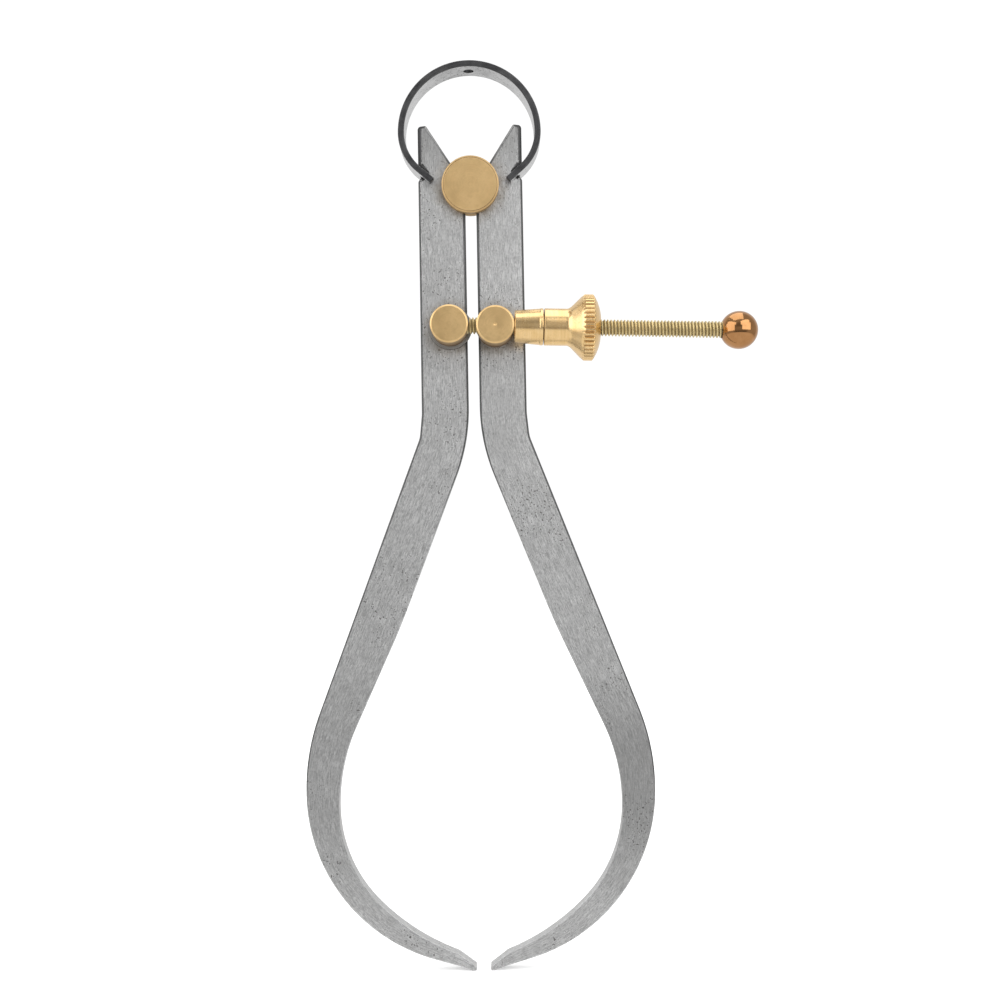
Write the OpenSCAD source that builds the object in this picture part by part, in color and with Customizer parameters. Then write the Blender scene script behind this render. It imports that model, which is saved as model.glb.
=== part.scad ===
// Outside spring-joint caliper, nominal 150 mm (6 in).
// Two flat steel legs pivot on a brass fulcrum and are pushed apart by a bow spring. A fine screw is fixed in a
// swivel stud on the left leg and slides through a swivel stud on the right leg. A nut on it sets the jaws.
// X runs across the jaws, +Z up the legs to the bow, -Y to the front. The origin is the centre of the
// fulcrum's rear face. Everything is drawn at the nearly closed setting.

/* [Legs] */
// Fulcrum axis to the ends of the tips
leg_length = 150; // [149:0.5:151]
// Width of a leg where it is straight
leg_w = 8.9; // [8.4:0.1:9.2]
// Thickness of a leg
leg_t = 3; // [2.4:0.1:3.4]
// Gap between the straight parts of the legs
leg_gap = 2.1; // [1.8:0.1:2.4]
// Half the distance between the two tips as drawn
tip_half_gap = 1.36; // [1:0.02:1.6]
// Height of the horns above the fulcrum axis
horn_h = 11.7; // [10.5:0.05:12]

/* [Fulcrum] */
// Diameter of the fulcrum's head
fulcrum_d = 10.9; // [10:0.1:11.5]
// Diameter of its rear cap
cap_d = 9.8; // [9:0.1:11.5]
// Thickness of the head and of the rear cap
fulcrum_t = 1.6; // [1.2:0.1:2]
// Diameter of the core that the legs turn on
core_d = 7; // [6:0.1:7.4]

/* [Bow spring] */
// Outer radius of the bow's round top
bow_r = 13.6; // [13.4:0.05:13.8]
// Thickness of the strip
strip_t = 1.2; // [1:0.05:1.3]
// Width of the strip
strip_w = 6.2; // [5.8:0.1:6.2]
// Diameter of the hole at the crown
crown_hole_d = 2.1; // [1:0.1:2.5]

/* [Studs] */
// Diameter of a stud's head
stud_d = 7.14; // [6.6:0.02:7.4]
// How far a head stands in front of the legs
stud_h = 7; // [6.6:0.1:7.4]
// Depth of the left stud below the fulcrum axis
stud_drop = 27.12; // [26.5:0.02:27.5]
// Half the distance between the two studs
stud_half_gap = 4.31; // [4.2:0.01:4.5]
// Diameter of the part of a stud that turns in the leg
shank_d = 4; // [3.6:0.1:4.2]

/* [Screw and nut] */
// Outer diameter of the thread, number 5 (0.125 in)
screw_d = 3.175; // [3.1:0.005:3.2]
// Thread pitch, 40 per inch
pitch = 0.635; // [0.6:0.005:0.7]
// How far the screw leans off square to the caliper's axis, in degrees
screw_lean = 1.9; // [1.5:0.1:2]
// Left stud's axis to the ball's centre
ball_x = 54.5; // [53:0.1:56]
// Diameter of the ball
ball_d = 7.15; // [6.5:0.05:7.5]
// Diameter of the nut's barrel
barrel_d = 6.96; // [6.6:0.02:7.1]
// Diameter over the knurl
knurl_d = 12.4; // [11.5:0.1:13]
// Number of ridges in the knurl
knurl_n = 42; // [36:1:48]

/* [Hidden] */
$fn = 64;

run = 0.05;           // running clearance of every turning fit
seat = 0.02;          // clearance between pieces that are fixed together
play = 0.25;          // radial room for the screw in the guide stud, ferrule and nut

// Distances in front of the fulcrum's rear face
leg_back = fulcrum_t + run;
leg_front = leg_back + leg_t;
head_back = leg_front + run;
screw_front = leg_front + 3.9;
stud_front = leg_front + stud_h;

// Legs, as [x, z, corner radius], right leg
inner_x = leg_gap / 2;
outer_x = inner_x + leg_w;
tip_z = -leg_length;
horn_slope = 0.635;   // inner slant of a horn, sideways for each millimetre up
horn_inner_x = inner_x + horn_slope * (horn_h - 0.25);
bow_out_x = 33.4;     // widest point of the outer edge
bow_in_x = 27.13;     // widest point of the inner edge

// Bow spring: a half circle on top, tighter arcs at the sides, then straight ends
bow_z = 9.97;
side_r = 9.7;
side_x = bow_r - side_r;
end_angle = 41;       // of a straight end, below the horizontal
end_len = 3.47;       // straight part of an end
fork_len = 2.4;       // how far the prongs reach past the bottom of the fork
prong_gap = 0.1;      // between a prong and the leg's face
joint_x = side_x + (side_r - strip_t / 2) * sin(end_angle);
joint_z = bow_z - (side_r - strip_t / 2) * cos(end_angle);
prong_x = joint_x - end_len * cos(end_angle);
prong_z = joint_z - end_len * sin(end_angle);
web_x = prong_x + fork_len * cos(end_angle);
web_z = prong_z + fork_len * sin(end_angle);
strip_front = (leg_back + leg_front + strip_w) / 2;

// Notch that the web of the fork sits in
notch_floor = 0.6;    // room behind the web, which takes up the bow's flexing
notch_side = strip_t / 2 + 0.15;
notch_x = web_x - notch_floor * cos(end_angle);
notch_z = web_z - notch_floor * sin(end_angle);
notch_top = [notch_x - notch_side * sin(end_angle), notch_z + notch_side * cos(end_angle)];
notch_low = [notch_x + notch_side * sin(end_angle), notch_z - notch_side * cos(end_angle)];
notch_mouth = notch_top[1] + (outer_x - notch_top[0]) * tan(end_angle);

// Studs and what they carry
stud_z = -stud_drop;
guide_x = 2 * stud_half_gap / cos(screw_lean);
ferrule_x = stud_d / 2 + seat;
ferrule_end = ferrule_x + 5.36;
nose_x = ferrule_end - 1.75;
nut_x = ferrule_end + 0.24;
knurl_x = nut_x + 7.18;
knurl_end = knurl_x + 2.26;
nut_end = knurl_end + 1.1;
washer_t = 0.8;
front_washer_t = 0.4;
tenon_d = 2.6;
thread_depth = 0.6 * pitch;
thread_start = stud_d / 2 - 0.4;
thread_end = ball_x - ball_d / 2 + 0.3;

function unit(v) = v / norm(v);

// Arc of radius r in the corner b between the points a and c
function corner(a, b, c, r) =
    r == 0 ? [b] :
    let (u = unit(a - b), v = unit(c - b), half = acos(u * v) / 2,
         m = b + unit(u + v) * r / sin(half),
         p = b + u * r / tan(half) - m,
         side = sign(u[0] * p[1] - u[1] * p[0]),
         steps = max(3, round((90 - half) * sqrt(r) / 12)))
    [for (i = [0 : steps]) let (t = side * (180 - 2 * half) * i / steps)
        m + [p[0] * cos(t) - p[1] * sin(t), p[0] * sin(t) + p[1] * cos(t)]];

// Outline through the corners in list, each [x, z, radius]
function outline(list) = let (n = len(list), at = [for (c = list) [c[0], c[1]]])
    [for (i = [0 : n - 1]) each corner(at[(i + n - 1) % n], at[i], at[(i + 1) % n], list[i][2])];

// Points on an arc about [x, bow_z], all but the first
function arc(x, r, from, to) = let (n = round(abs(to - from) / 3))
    [for (i = [1 : n]) let (a = from + (to - from) * i / n) [x + r * cos(a), bow_z + r * sin(a)]];

// One edge of the right half of the bow's strip, from the crown to the prong's end; out is its distance from
// the strip's middle
function bow_edge(top, side, out) = concat([[0, bow_z + top]], arc(0, top, 90, 0),
    arc(side_x, side, 0, end_angle - 90), [[prong_x + out * sin(end_angle), prong_z - out * cos(end_angle)]]);

function reversed(list) = [for (i = [len(list) - 1 : -1 : 0]) list[i]];

leg_corners = [
    [horn_inner_x, horn_h, 0.4],
    [outer_x, horn_h, 0.7],
    [outer_x, notch_mouth, 0],
    [notch_top[0], notch_top[1], 0],
    [notch_low[0], notch_low[1], 0],
    [outer_x - 0.5, 1.8, 0],
    [outer_x, 1, 0],
    [outer_x + 0.1, tip_z + 106.5, 0],
    [outer_x + 0.55, tip_z + 102, 0],
    [bow_out_x, tip_z + 42.3, 42],
    [bow_out_x, tip_z + 9.2, 33.4],
    [3.9, tip_z + 0.6, 2],
    [2.3, tip_z, 0.5],
    [tip_half_gap, tip_z, 0.3],
    [tip_half_gap, tip_z + 0.65, 0.2],
    [4.72, tip_z + 3.16, 0],
    [13.1, tip_z + 6.44, 42],
    [bow_in_x, tip_z + 20.45, 26],
    [bow_in_x, tip_z + 39.3, 36],
    [14.8, tip_z + 66, 150],
    [inner_x, tip_z + 101.1, 36],
    [inner_x, 0.25, 0]];

// Flat piece from its outline in X and Z; back is how far its rear face is in front of the fulcrum's
module plate(back, thick) {
    translate([0, -back, 0]) rotate([90, 0, 0]) linear_extrude(thick) children();
}

// Round piece about the Y axis
module disc(d, back, front) {
    translate([0, -back, 0]) rotate([90, 0, 0]) cylinder(h = front - back, d = d);
}

// Children moved to the left stud and turned along the screw, which is then the X axis
module on_screw(x = 0) {
    translate([-stud_half_gap, 0, stud_z]) rotate([0, screw_lean, 0]) translate([x, 0, 0]) children();
}

// Shape turned about the screw's axis, from points [radius, distance along it]
module turned(points) {
    translate([0, -screw_front, 0]) rotate([0, 90, 0]) rotate_extrude() polygon(points);
}

// Hole along the screw's axis
module screw_hole(r, from, to) {
    translate([from, -screw_front, 0]) rotate([0, 90, 0]) cylinder(h = to - from, r = r);
}

// ---------------------------------------------------------------- fulcrum

module fulcrum_stud() {
    rim = 0.2;
    color("tan") {
        disc(core_d, leg_back - run, head_back);
        disc(core_d / 2, 0, leg_back);
        translate([0, -head_back, 0]) rotate([90, 0, 0]) {
            cylinder(h = fulcrum_t - rim, d = fulcrum_d);
            translate([0, 0, fulcrum_t - rim]) cylinder(h = rim, d1 = fulcrum_d, d2 = fulcrum_d - 2 * rim);
        }
    }
}

module fulcrum_rear_cap() {
    color("tan") difference() {
        disc(cap_d, 0, fulcrum_t);
        disc(core_d / 2 + 2 * seat, -1, fulcrum_t + 1);
    }
}

// ---------------------------------------------------------------- legs

// Right leg, with its seat on the core and its stud's hole
module leg(hole_x, hole_z) {
    difference() {
        plate(leg_back, leg_t) polygon(outline(leg_corners));
        disc(core_d + 2 * run, 0, leg_front + 1);
        translate([hole_x, 0, hole_z]) disc(shank_d + 2 * run, 0, leg_front + 1);
    }
}

module leg_left() {
    color("darkgray") mirror([1, 0, 0]) leg(stud_half_gap, stud_z);
}

module leg_right() {
    color("darkgray") leg(stud_half_gap, stud_z - 2 * stud_half_gap * tan(screw_lean));
}

// ---------------------------------------------------------------- bow spring

// Right half, up to the crown
module bow_half() {
    slot = leg_t + 2 * prong_gap;
    difference() {
        plate(strip_front - strip_w, strip_w) polygon(concat(bow_edge(bow_r, side_r, strip_t / 2),
            reversed(bow_edge(bow_r - strip_t, side_r - strip_t, -strip_t / 2))));
        translate([web_x, -leg_back + prong_gap - slot, web_z]) rotate([0, 90 - end_angle, 0])
            translate([-strip_t, 0, -2 * fork_len]) cube([2 * strip_t, slot, 2 * fork_len]);
        translate([0, -strip_front + strip_w / 2, bow_z]) cylinder(h = 2 * bow_r, d = crown_hole_d);
        translate([-2, -strip_front - 1, bow_z]) cube([2 + seat / 2, strip_w + 2, 2 * bow_r]);
    }
}

module bow_spring_left_half() {
    color("dimgray") mirror([1, 0, 0]) bow_half();
}

module bow_spring_right_half() {
    color("dimgray") bow_half();
}

// ---------------------------------------------------------------- studs

// Swivel stud: cross-drilled head from back to the front, shank through the leg, tenon and riveted tail
module stud(back) {
    chamfer = 0.3;
    tail_t = 0.4;
    disc(stud_d, back, stud_front - chamfer);
    translate([0, -stud_front + chamfer, 0]) rotate([90, 0, 0])
        cylinder(h = chamfer, d1 = stud_d, d2 = stud_d - 2 * chamfer);
    disc(shank_d, leg_back - run, back);
    disc(tenon_d, leg_back - run - washer_t, leg_back);
    disc(tenon_d + 0.8, leg_back - run - washer_t - tail_t, leg_back - run - washer_t);
}

module ring(outer, inner, back, front) {
    difference() {
        disc(outer, back, front);
        disc(inner, back - 1, front + 1);
    }
}

module anchor_stud() {
    color("burlywood") on_screw() difference() {
        stud(head_back + front_washer_t);
        screw_hole(screw_d / 2 + seat, -stud_d / 2 + 0.6, stud_d);
        lock_pin(0.62, 1);
    }
}

module anchor_front_washer() {
    color("gray") on_screw() ring(8.3, shank_d + 2 * seat, head_back, head_back + front_washer_t - seat);
}

module anchor_rear_washer() {
    color("gray") on_screw()
        ring(6.4, tenon_d + 2 * seat, leg_back - run - washer_t + seat, leg_back - run - seat);
}

// Cross pin through the screw, from the top of the left stud's head
module lock_pin(r, over) {
    pin_x = -1.2;
    translate([pin_x, -screw_front, -2.4 - over / 10]) cylinder(h = 5.6 + over, r = r);
}

module screw_lock_pin() {
    color("silver") on_screw() lock_pin(0.6, 0);
}

module guide_stud() {
    mark_d = 0.8;
    color("burlywood") on_screw(guide_x) difference() {
        stud(head_back);
        screw_hole(screw_d / 2 + play, -stud_d, stud_d);
        translate([0, -stud_front + 0.15, 0]) rotate([90, 0, 0]) cylinder(h = 0.3, d1 = 0, d2 = 2 * mark_d);
    }
}

module guide_rear_washer() {
    color("gray") on_screw(guide_x)
        ring(6.4, tenon_d + 2 * seat, leg_back - run - washer_t + seat, leg_back - run - seat);
}

// ---------------------------------------------------------------- screw

// The thread is drawn as rings, one for each turn, not as a helix
module adjusting_screw() {
    r = screw_d / 2;
    root = r - thread_depth;
    turns = floor((thread_end - thread_start) / pitch);
    crests = [for (i = [0 : turns - 1]) each [[r, thread_start + i * pitch + pitch * 0.1],
                                              [r, thread_start + i * pitch + pitch * 0.3],
                                              [root, thread_start + i * pitch + pitch * 0.65],
                                              [root, thread_start + i * pitch + pitch * 0.75]]];
    color("darkkhaki") on_screw() difference() {
        turned(concat([[0, -stud_d / 2 + 0.65], [r, -stud_d / 2 + 0.65]], crests,
                      [[root, thread_end + 1.4], [0, thread_end + 1.4]]));
        lock_pin(0.62, 1);
    }
}

module ball_end() {
    color("peru") on_screw() difference() {
        translate([ball_x, -screw_front, 0]) sphere(d = ball_d);
        screw_hole(screw_d / 2 + seat, ball_x - ball_d, thread_end + seat);
        screw_hole(screw_d / 2 - thread_depth + seat, ball_x - ball_d, thread_end + 1.6);
    }
}

// ---------------------------------------------------------------- ferrule and nut

module thrust_ferrule() {
    bore = screw_d / 2 + play;
    cup = 2.5;
    lip = barrel_d / 2;
    color("gold") on_screw(guide_x) turned([
        [bore, ferrule_x], [2.85, ferrule_x], [3.05, ferrule_x + 0.2],
        [lip - 0.08, ferrule_end - 0.65], [lip, ferrule_end - 0.5], [lip, ferrule_end - 0.2],
        [lip - 0.2, ferrule_end], [cup, ferrule_end], [cup, nose_x - seat], [bore, nose_x - seat]]);
}

// Nut about the screw's axis, without its knurl
module nut_body() {
    bore = screw_d / 2 + play;
    barrel = barrel_d / 2;
    rim = knurl_d / 2;
    turned([
        [bore, nose_x], [2.35, nose_x], [2.45, nose_x + 0.1], [2.45, nut_x],
        [barrel - 0.12, nut_x], [barrel, nut_x + 0.12], [barrel, knurl_x - 2.7],
        [barrel + 0.12, knurl_x - 2.35], [barrel + 0.4, knurl_x - 1.98],
        [rim - 0.5, knurl_x - 0.3], [rim - 0.3, knurl_x], [rim, knurl_x + 0.35],
        [rim, knurl_end - 0.35], [rim - 0.45, knurl_end], [rim - 1.4, knurl_end + 0.5],
        [rim - 2.5, knurl_end + 0.9], [rim - 3.4, nut_end], [bore, nut_end]]);
}

// Ridges run along the screw; each is flat on top with a V groove beside it
module adjusting_nut() {
    rim = knurl_d / 2;
    depth = 0.36;
    step = 360 / knurl_n;
    ridges = [for (i = [0 : knurl_n - 1]) each [
        rim * [cos(i * step), sin(i * step)],
        rim * [cos((i + 0.4) * step), sin((i + 0.4) * step)],
        (rim - depth) * [cos((i + 0.7) * step), sin((i + 0.7) * step)]]];
    color("goldenrod") on_screw(guide_x) difference() {
        nut_body();
        translate([knurl_x, -screw_front, 0]) rotate([0, 90, 0]) linear_extrude(knurl_end - knurl_x)
            difference() {
                circle(r = rim + 1);
                polygon(ridges);
            }
    }
}

fulcrum_stud();
fulcrum_rear_cap();
leg_left();
leg_right();
bow_spring_left_half();
bow_spring_right_half();
anchor_stud();
anchor_front_washer();
anchor_rear_washer();
screw_lock_pin();
adjusting_screw();
ball_end();
guide_stud();
guide_rear_washer();
thrust_ferrule();
adjusting_nut();
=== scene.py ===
# Outside spring-joint caliper: looks and studio.
# Sizes are in millimetres in the caliper's own frame: X across the jaws, +Z up to the bow, -Y to the front.
# "Front" distances are measured forwards from the fulcrum's rear face, which is at y = 0.
import math

import bmesh
import bpy
import numpy as np
from mathutils import Matrix, Vector
from mathutils.geometry import tessellate_polygon


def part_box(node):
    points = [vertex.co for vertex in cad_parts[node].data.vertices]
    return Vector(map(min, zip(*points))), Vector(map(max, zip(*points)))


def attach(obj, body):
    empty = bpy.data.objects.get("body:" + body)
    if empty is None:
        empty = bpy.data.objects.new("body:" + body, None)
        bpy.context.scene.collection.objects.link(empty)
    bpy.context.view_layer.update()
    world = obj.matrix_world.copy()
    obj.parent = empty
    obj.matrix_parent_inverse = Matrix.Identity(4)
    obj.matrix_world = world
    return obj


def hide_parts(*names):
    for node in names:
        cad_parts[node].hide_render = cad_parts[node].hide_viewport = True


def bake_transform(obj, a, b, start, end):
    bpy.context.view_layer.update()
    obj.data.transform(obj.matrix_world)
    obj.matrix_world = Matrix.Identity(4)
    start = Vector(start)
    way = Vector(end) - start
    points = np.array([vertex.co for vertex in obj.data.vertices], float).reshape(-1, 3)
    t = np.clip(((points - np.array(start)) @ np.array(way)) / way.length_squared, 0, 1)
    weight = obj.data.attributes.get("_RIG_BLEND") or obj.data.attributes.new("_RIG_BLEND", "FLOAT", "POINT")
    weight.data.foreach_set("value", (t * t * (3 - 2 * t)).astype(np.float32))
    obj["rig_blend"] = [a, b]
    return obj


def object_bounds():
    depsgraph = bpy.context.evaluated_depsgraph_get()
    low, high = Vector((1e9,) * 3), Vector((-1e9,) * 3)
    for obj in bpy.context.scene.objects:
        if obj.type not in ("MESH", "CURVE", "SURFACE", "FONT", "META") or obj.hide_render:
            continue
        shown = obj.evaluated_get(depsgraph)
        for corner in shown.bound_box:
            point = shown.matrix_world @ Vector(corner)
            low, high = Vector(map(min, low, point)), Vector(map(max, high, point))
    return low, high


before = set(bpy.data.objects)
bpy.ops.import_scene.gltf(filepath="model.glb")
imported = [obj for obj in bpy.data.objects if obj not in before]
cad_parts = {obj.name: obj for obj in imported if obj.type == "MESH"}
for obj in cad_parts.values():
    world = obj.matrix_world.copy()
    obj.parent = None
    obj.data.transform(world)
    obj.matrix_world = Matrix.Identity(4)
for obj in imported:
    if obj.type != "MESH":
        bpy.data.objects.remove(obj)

CAD_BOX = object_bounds()
MM = 0.001

# ---------------------------------------------------------------- sizes

# Front distances of the backs and fronts of the legs and of the fulcrum's head
LEG_BACK, LEG_FRONT = 1.65, 4.65
HEAD_BACK, HEAD_FRONT = 4.70, 6.30
# Front distance of the shoulders against which caps and washers are riveted
BEHIND_LEGS = 1.60
# Fulcrum axis to the tips, and the straight part's inner and outer edge
LEG_LENGTH, LEG_IN, LEG_OUT = 150.0, 1.05, 9.95
TIP = -LEG_LENGTH
# Swivel studs and the screw that they carry
STUD_FRONT, STUD_R = 11.65, 3.57
SCREW_FRONT, SCREW_R, PITCH = 8.55, 1.5875, 0.635
LEAN = math.radians(1.9)
# Bow: a half circle of radius BOW_R about BOW_Z, arcs of radius SIDE_R about SIDE_X, straight forked ends
BOW_R, SIDE_R, BOW_Z, SIDE_X = 13.6, 9.7, 9.97, 3.9
STRIP_T, STRIP_BACK, STRIP_FRONT = 1.2, 0.05, 6.25
CROWN_HOLE_R = 1.05
END_ANGLE = math.radians(41)
END_LEN, FORK_LEN = 3.47, 2.4


def middle(node):
    """Centre of a CAD node's box, in millimetres."""
    low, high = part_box(node)
    return (Vector(low) + Vector(high)) / 2 / MM


ANCHOR_STUD = middle("anchor_rear_washer")
GUIDE_STUD = middle("guide_rear_washer")

# Local frames: Z is a round piece's axis, X and Y are across it
FORWARD = Matrix(((1, 0, 0), (0, 0, -1), (0, 1, 0)))
ALONG_SCREW = Matrix((
    (0, -math.sin(LEAN), math.cos(LEAN)),
    (-1, 0, 0),
    (0, -math.cos(LEAN), -math.sin(LEAN))))


def on_axis(turn, x, y, z):
    return Matrix.Translation((x, y, z)) @ turn.to_4x4()


AT_FULCRUM = on_axis(FORWARD, 0, 0, 0)
AT_ANCHOR = on_axis(FORWARD, ANCHOR_STUD.x, 0, ANCHOR_STUD.z)
AT_GUIDE = on_axis(FORWARD, GUIDE_STUD.x, 0, GUIDE_STUD.z)
SCREW_FROM_ANCHOR = on_axis(ALONG_SCREW, ANCHOR_STUD.x, -SCREW_FRONT, ANCHOR_STUD.z)
SCREW_FROM_GUIDE = on_axis(ALONG_SCREW, GUIDE_STUD.x, -SCREW_FRONT, GUIDE_STUD.z)

# ---------------------------------------------------------------- outlines


def turned(v, angle):
    c, s = math.cos(angle), math.sin(angle)
    return np.array((v[0] * c - v[1] * s, v[0] * s + v[1] * c))


def unit(v):
    return v / np.linalg.norm(v)


def rounded(corners, closed=True, step=9.0, longest=1.0):
    """Points and outward normals of a clockwise outline of (x, y, radius) corners, with an arc in each."""
    at = [np.array(c[:2], float) for c in corners]
    count = len(at)
    points, normals = [], []
    for i, b in enumerate(at):
        if not closed and i in (0, count - 1):
            d = unit(at[1] - at[0]) if i == 0 else unit(at[-1] - at[-2])
            points.append(b)
            normals.append(np.array((-d[1], d[0])))
            continue
        u, v = unit(b - at[i - 1]), unit(at[(i + 1) % count] - b)
        side = 1 if u[0] * v[1] - u[1] * v[0] > 0 else -1
        turn = math.acos(max(-1, min(1, float(u @ v))))
        r = corners[i][2]
        left = np.array((-u[1], u[0]))
        centre = b - u * r * math.tan(turn / 2) + side * left * r
        steps = max(1, math.ceil(math.degrees(turn) / step), math.ceil(turn * r / longest))
        for k in range(steps + 1):
            n = turned(left, side * turn * k / steps)
            points.append(centre - side * n * r)
            normals.append(n)
    return np.array(points), np.array(normals)


def filled(points, normals, longest, closed=False):
    """The same outline with no straight stretch longer than longest."""
    out_p, out_n = [], []
    count = len(points)
    for i in range(count if closed else count - 1):
        a, b = points[i], points[(i + 1) % count]
        na, nb = normals[i], normals[(i + 1) % count]
        parts = max(1, math.ceil(np.linalg.norm(b - a) / longest))
        for k in range(parts):
            t = k / parts
            out_p.append(a + (b - a) * t)
            out_n.append(unit(na + (nb - na) * t))
    if not closed:
        out_p.append(points[-1])
        out_n.append(normals[-1])
    return np.array(out_p), np.array(out_n)


# ---------------------------------------------------------------- meshes

SHARP = math.radians(32)
HOLE_SEGMENTS = 48
# Radial tolerance for a point to count as on a lathed piece's outer wall
ON_WALL = 0.004
# Tarnish for each millimetre of depth in a knurl's grooves
GROOVE_GRIME = 1.35


def finish_mesh(name, bm, body, material, nodes, normals=True):
    """Turns a bmesh in millimetres into a piece that rides on body and stands for the CAD nodes."""
    n_layer = bm.verts.layers.float_vector["n"]
    uv_layer = bm.verts.layers.float_vector["uv"]
    bm.normal_update()
    for f in bm.faces:
        want = Vector((0, 0, 0))
        for v in f.verts:
            want += v[n_layer]
        if f.normal.dot(want) < 0:
            f.normal_flip()
        f.smooth = True
    uv = bm.loops.layers.uv.new("grain")
    for f in bm.faces:
        for loop in f.loops:
            loop[uv].uv = loop.vert[uv_layer][:2]
    bm.verts.index_update()
    vertex_normals = [Vector(v[n_layer]).normalized() for v in bm.verts]
    for v in bm.verts:
        v.co *= MM
    mesh = bpy.data.meshes.new(name)
    bm.to_mesh(mesh)
    bm.free()
    for scratch in ("n", "uv", "flat"):
        if scratch in mesh.attributes:
            mesh.attributes.remove(mesh.attributes[scratch])
    if normals:
        mesh.normals_split_custom_set_from_vertices(vertex_normals)
    else:
        mesh.set_sharp_from_angle(angle=SHARP)
    mesh.materials.append(material)
    obj = bpy.data.objects.new(name, mesh)
    bpy.context.scene.collection.objects.link(obj)
    if not normals:
        weigh_normals(obj)
    if nodes:
        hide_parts(*nodes)
    if body:
        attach(obj, body)
    return obj


def weigh_normals(obj):
    weigh = obj.modifiers.new("weigh", "WEIGHTED_NORMAL")
    weigh.keep_sharp = True


def new_bmesh():
    """Bmesh whose vertices carry a normal, a place in the grain and an amount of dark edge, tarnish or
    painted shade.
    """
    bm = bmesh.new()
    layers = bm.verts.layers
    layers.float_vector.new("n")
    layers.float_vector.new("uv")
    layers.float.new("edge")
    return bm


def add_vertex(bm, p, n, uv=(0, 0), edge=0.0):
    layers = bm.verts.layers
    v = bm.verts.new(p)
    v[layers.float_vector["n"]] = n
    v[layers.float_vector["uv"]] = (uv[0], uv[1], 0)
    v[layers.float["edge"]] = edge
    return v


def clean_all_over(r, h, n):
    return 0.0


def lathe(name, corners, place, body, material, nodes=(), segments=96, groove=None, longest=None,
          drill=(), dark=clean_all_over):
    """Round piece from its profile (radius, distance along the axis, corner radius), from its far end back.
    groove(angle) caps the radius, for a knurl. drill holds (matrix, radius, length) of cross holes. dark
    gives the darkening of a profile point, from its radius, distance and normal, which includes painted shade
    on the studs' and the fulcrum's walls and in the gap between ferrule and nut."""
    points, normals = rounded(corners, closed=False)
    if longest:
        points, normals = filled(points, normals, longest)
    run = np.concatenate(([0], np.cumsum(np.linalg.norm(np.diff(points, axis=0), axis=1))))
    bm = new_bmesh()
    rows = []
    turn = place.to_3x3()
    for p, n, s in zip(points, normals, run):
        if p[0] < 1e-6:
            end = Vector((0, 0, 1 if n[1] > 0 else -1))
            v = add_vertex(bm, place @ Vector((0, 0, p[1])), turn @ end, (0, s))
            rows.append([v] * segments)
            continue
        row = []
        for j in range(segments):
            a = 2 * math.pi * j / segments
            r = min(p[0], groove(a)) if groove else p[0]
            c, sn = math.cos(a), math.sin(a)
            grime_and_shade = max(dark(p[0], p[1], n), GROOVE_GRIME * (p[0] - r))
            row.append(add_vertex(bm, place @ Vector((r * c, r * sn, p[1])),
                                  turn @ Vector((n[0] * c, n[0] * sn, n[1])), (a * p[0], s), grime_and_shade))
        rows.append(row)
    for i in range(len(rows) - 1):
        for j in range(segments):
            k = (j + 1) % segments
            face = []
            for v in (rows[i][j], rows[i + 1][j], rows[i + 1][k], rows[i][k]):
                if v not in face:
                    face.append(v)
            if len(face) > 2:
                bm.faces.new(face)
    obj = finish_mesh(name, bm, body, material, nodes, normals=groove is None and not drill)
    if drill:
        bore(obj, drill)
        wall = max(c[0] for c in corners)
        from_world = place.inverted()
        for v, grime_and_shade in zip(obj.data.vertices, obj.data.attributes["edge"].data):
            p = from_world @ (v.co / MM)
            grime_and_shade.value = dark(wall, p.z, (1, 0)) if math.hypot(p.x, p.y) > wall - ON_WALL else 0.0
    return obj


def bore(obj, holes):
    """Cuts round holes into a piece and keeps the result as its mesh."""
    cutters = []
    for matrix, radius, length in holes:
        bm = bmesh.new()
        bmesh.ops.create_cone(bm, cap_ends=True, segments=HOLE_SEGMENTS, radius1=radius * MM,
                              radius2=radius * MM, depth=length * MM)
        mesh = bpy.data.meshes.new("cutter")
        bm.to_mesh(mesh)
        bm.free()
        cutter = bpy.data.objects.new("cutter", mesh)
        bpy.context.scene.collection.objects.link(cutter)
        placed = matrix.copy()
        placed.translation = placed.translation * MM
        cutter.matrix_world = placed
        cutters.append(cutter)
        cut = obj.modifiers.new("cut", "BOOLEAN")
        cut.operation, cut.solver, cut.object = "DIFFERENCE", "EXACT", cutter
    obj.modifiers.remove(obj.modifiers["weigh"])
    bpy.context.view_layer.update()
    made = bpy.data.meshes.new_from_object(obj.evaluated_get(bpy.context.evaluated_depsgraph_get()))
    made.name = obj.name
    obj.modifiers.clear()
    obj.data = made
    made.shade_smooth()
    made.set_sharp_from_angle(angle=SHARP)
    weigh_normals(obj)
    for cutter in cutters:
        bpy.data.objects.remove(cutter)


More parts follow.
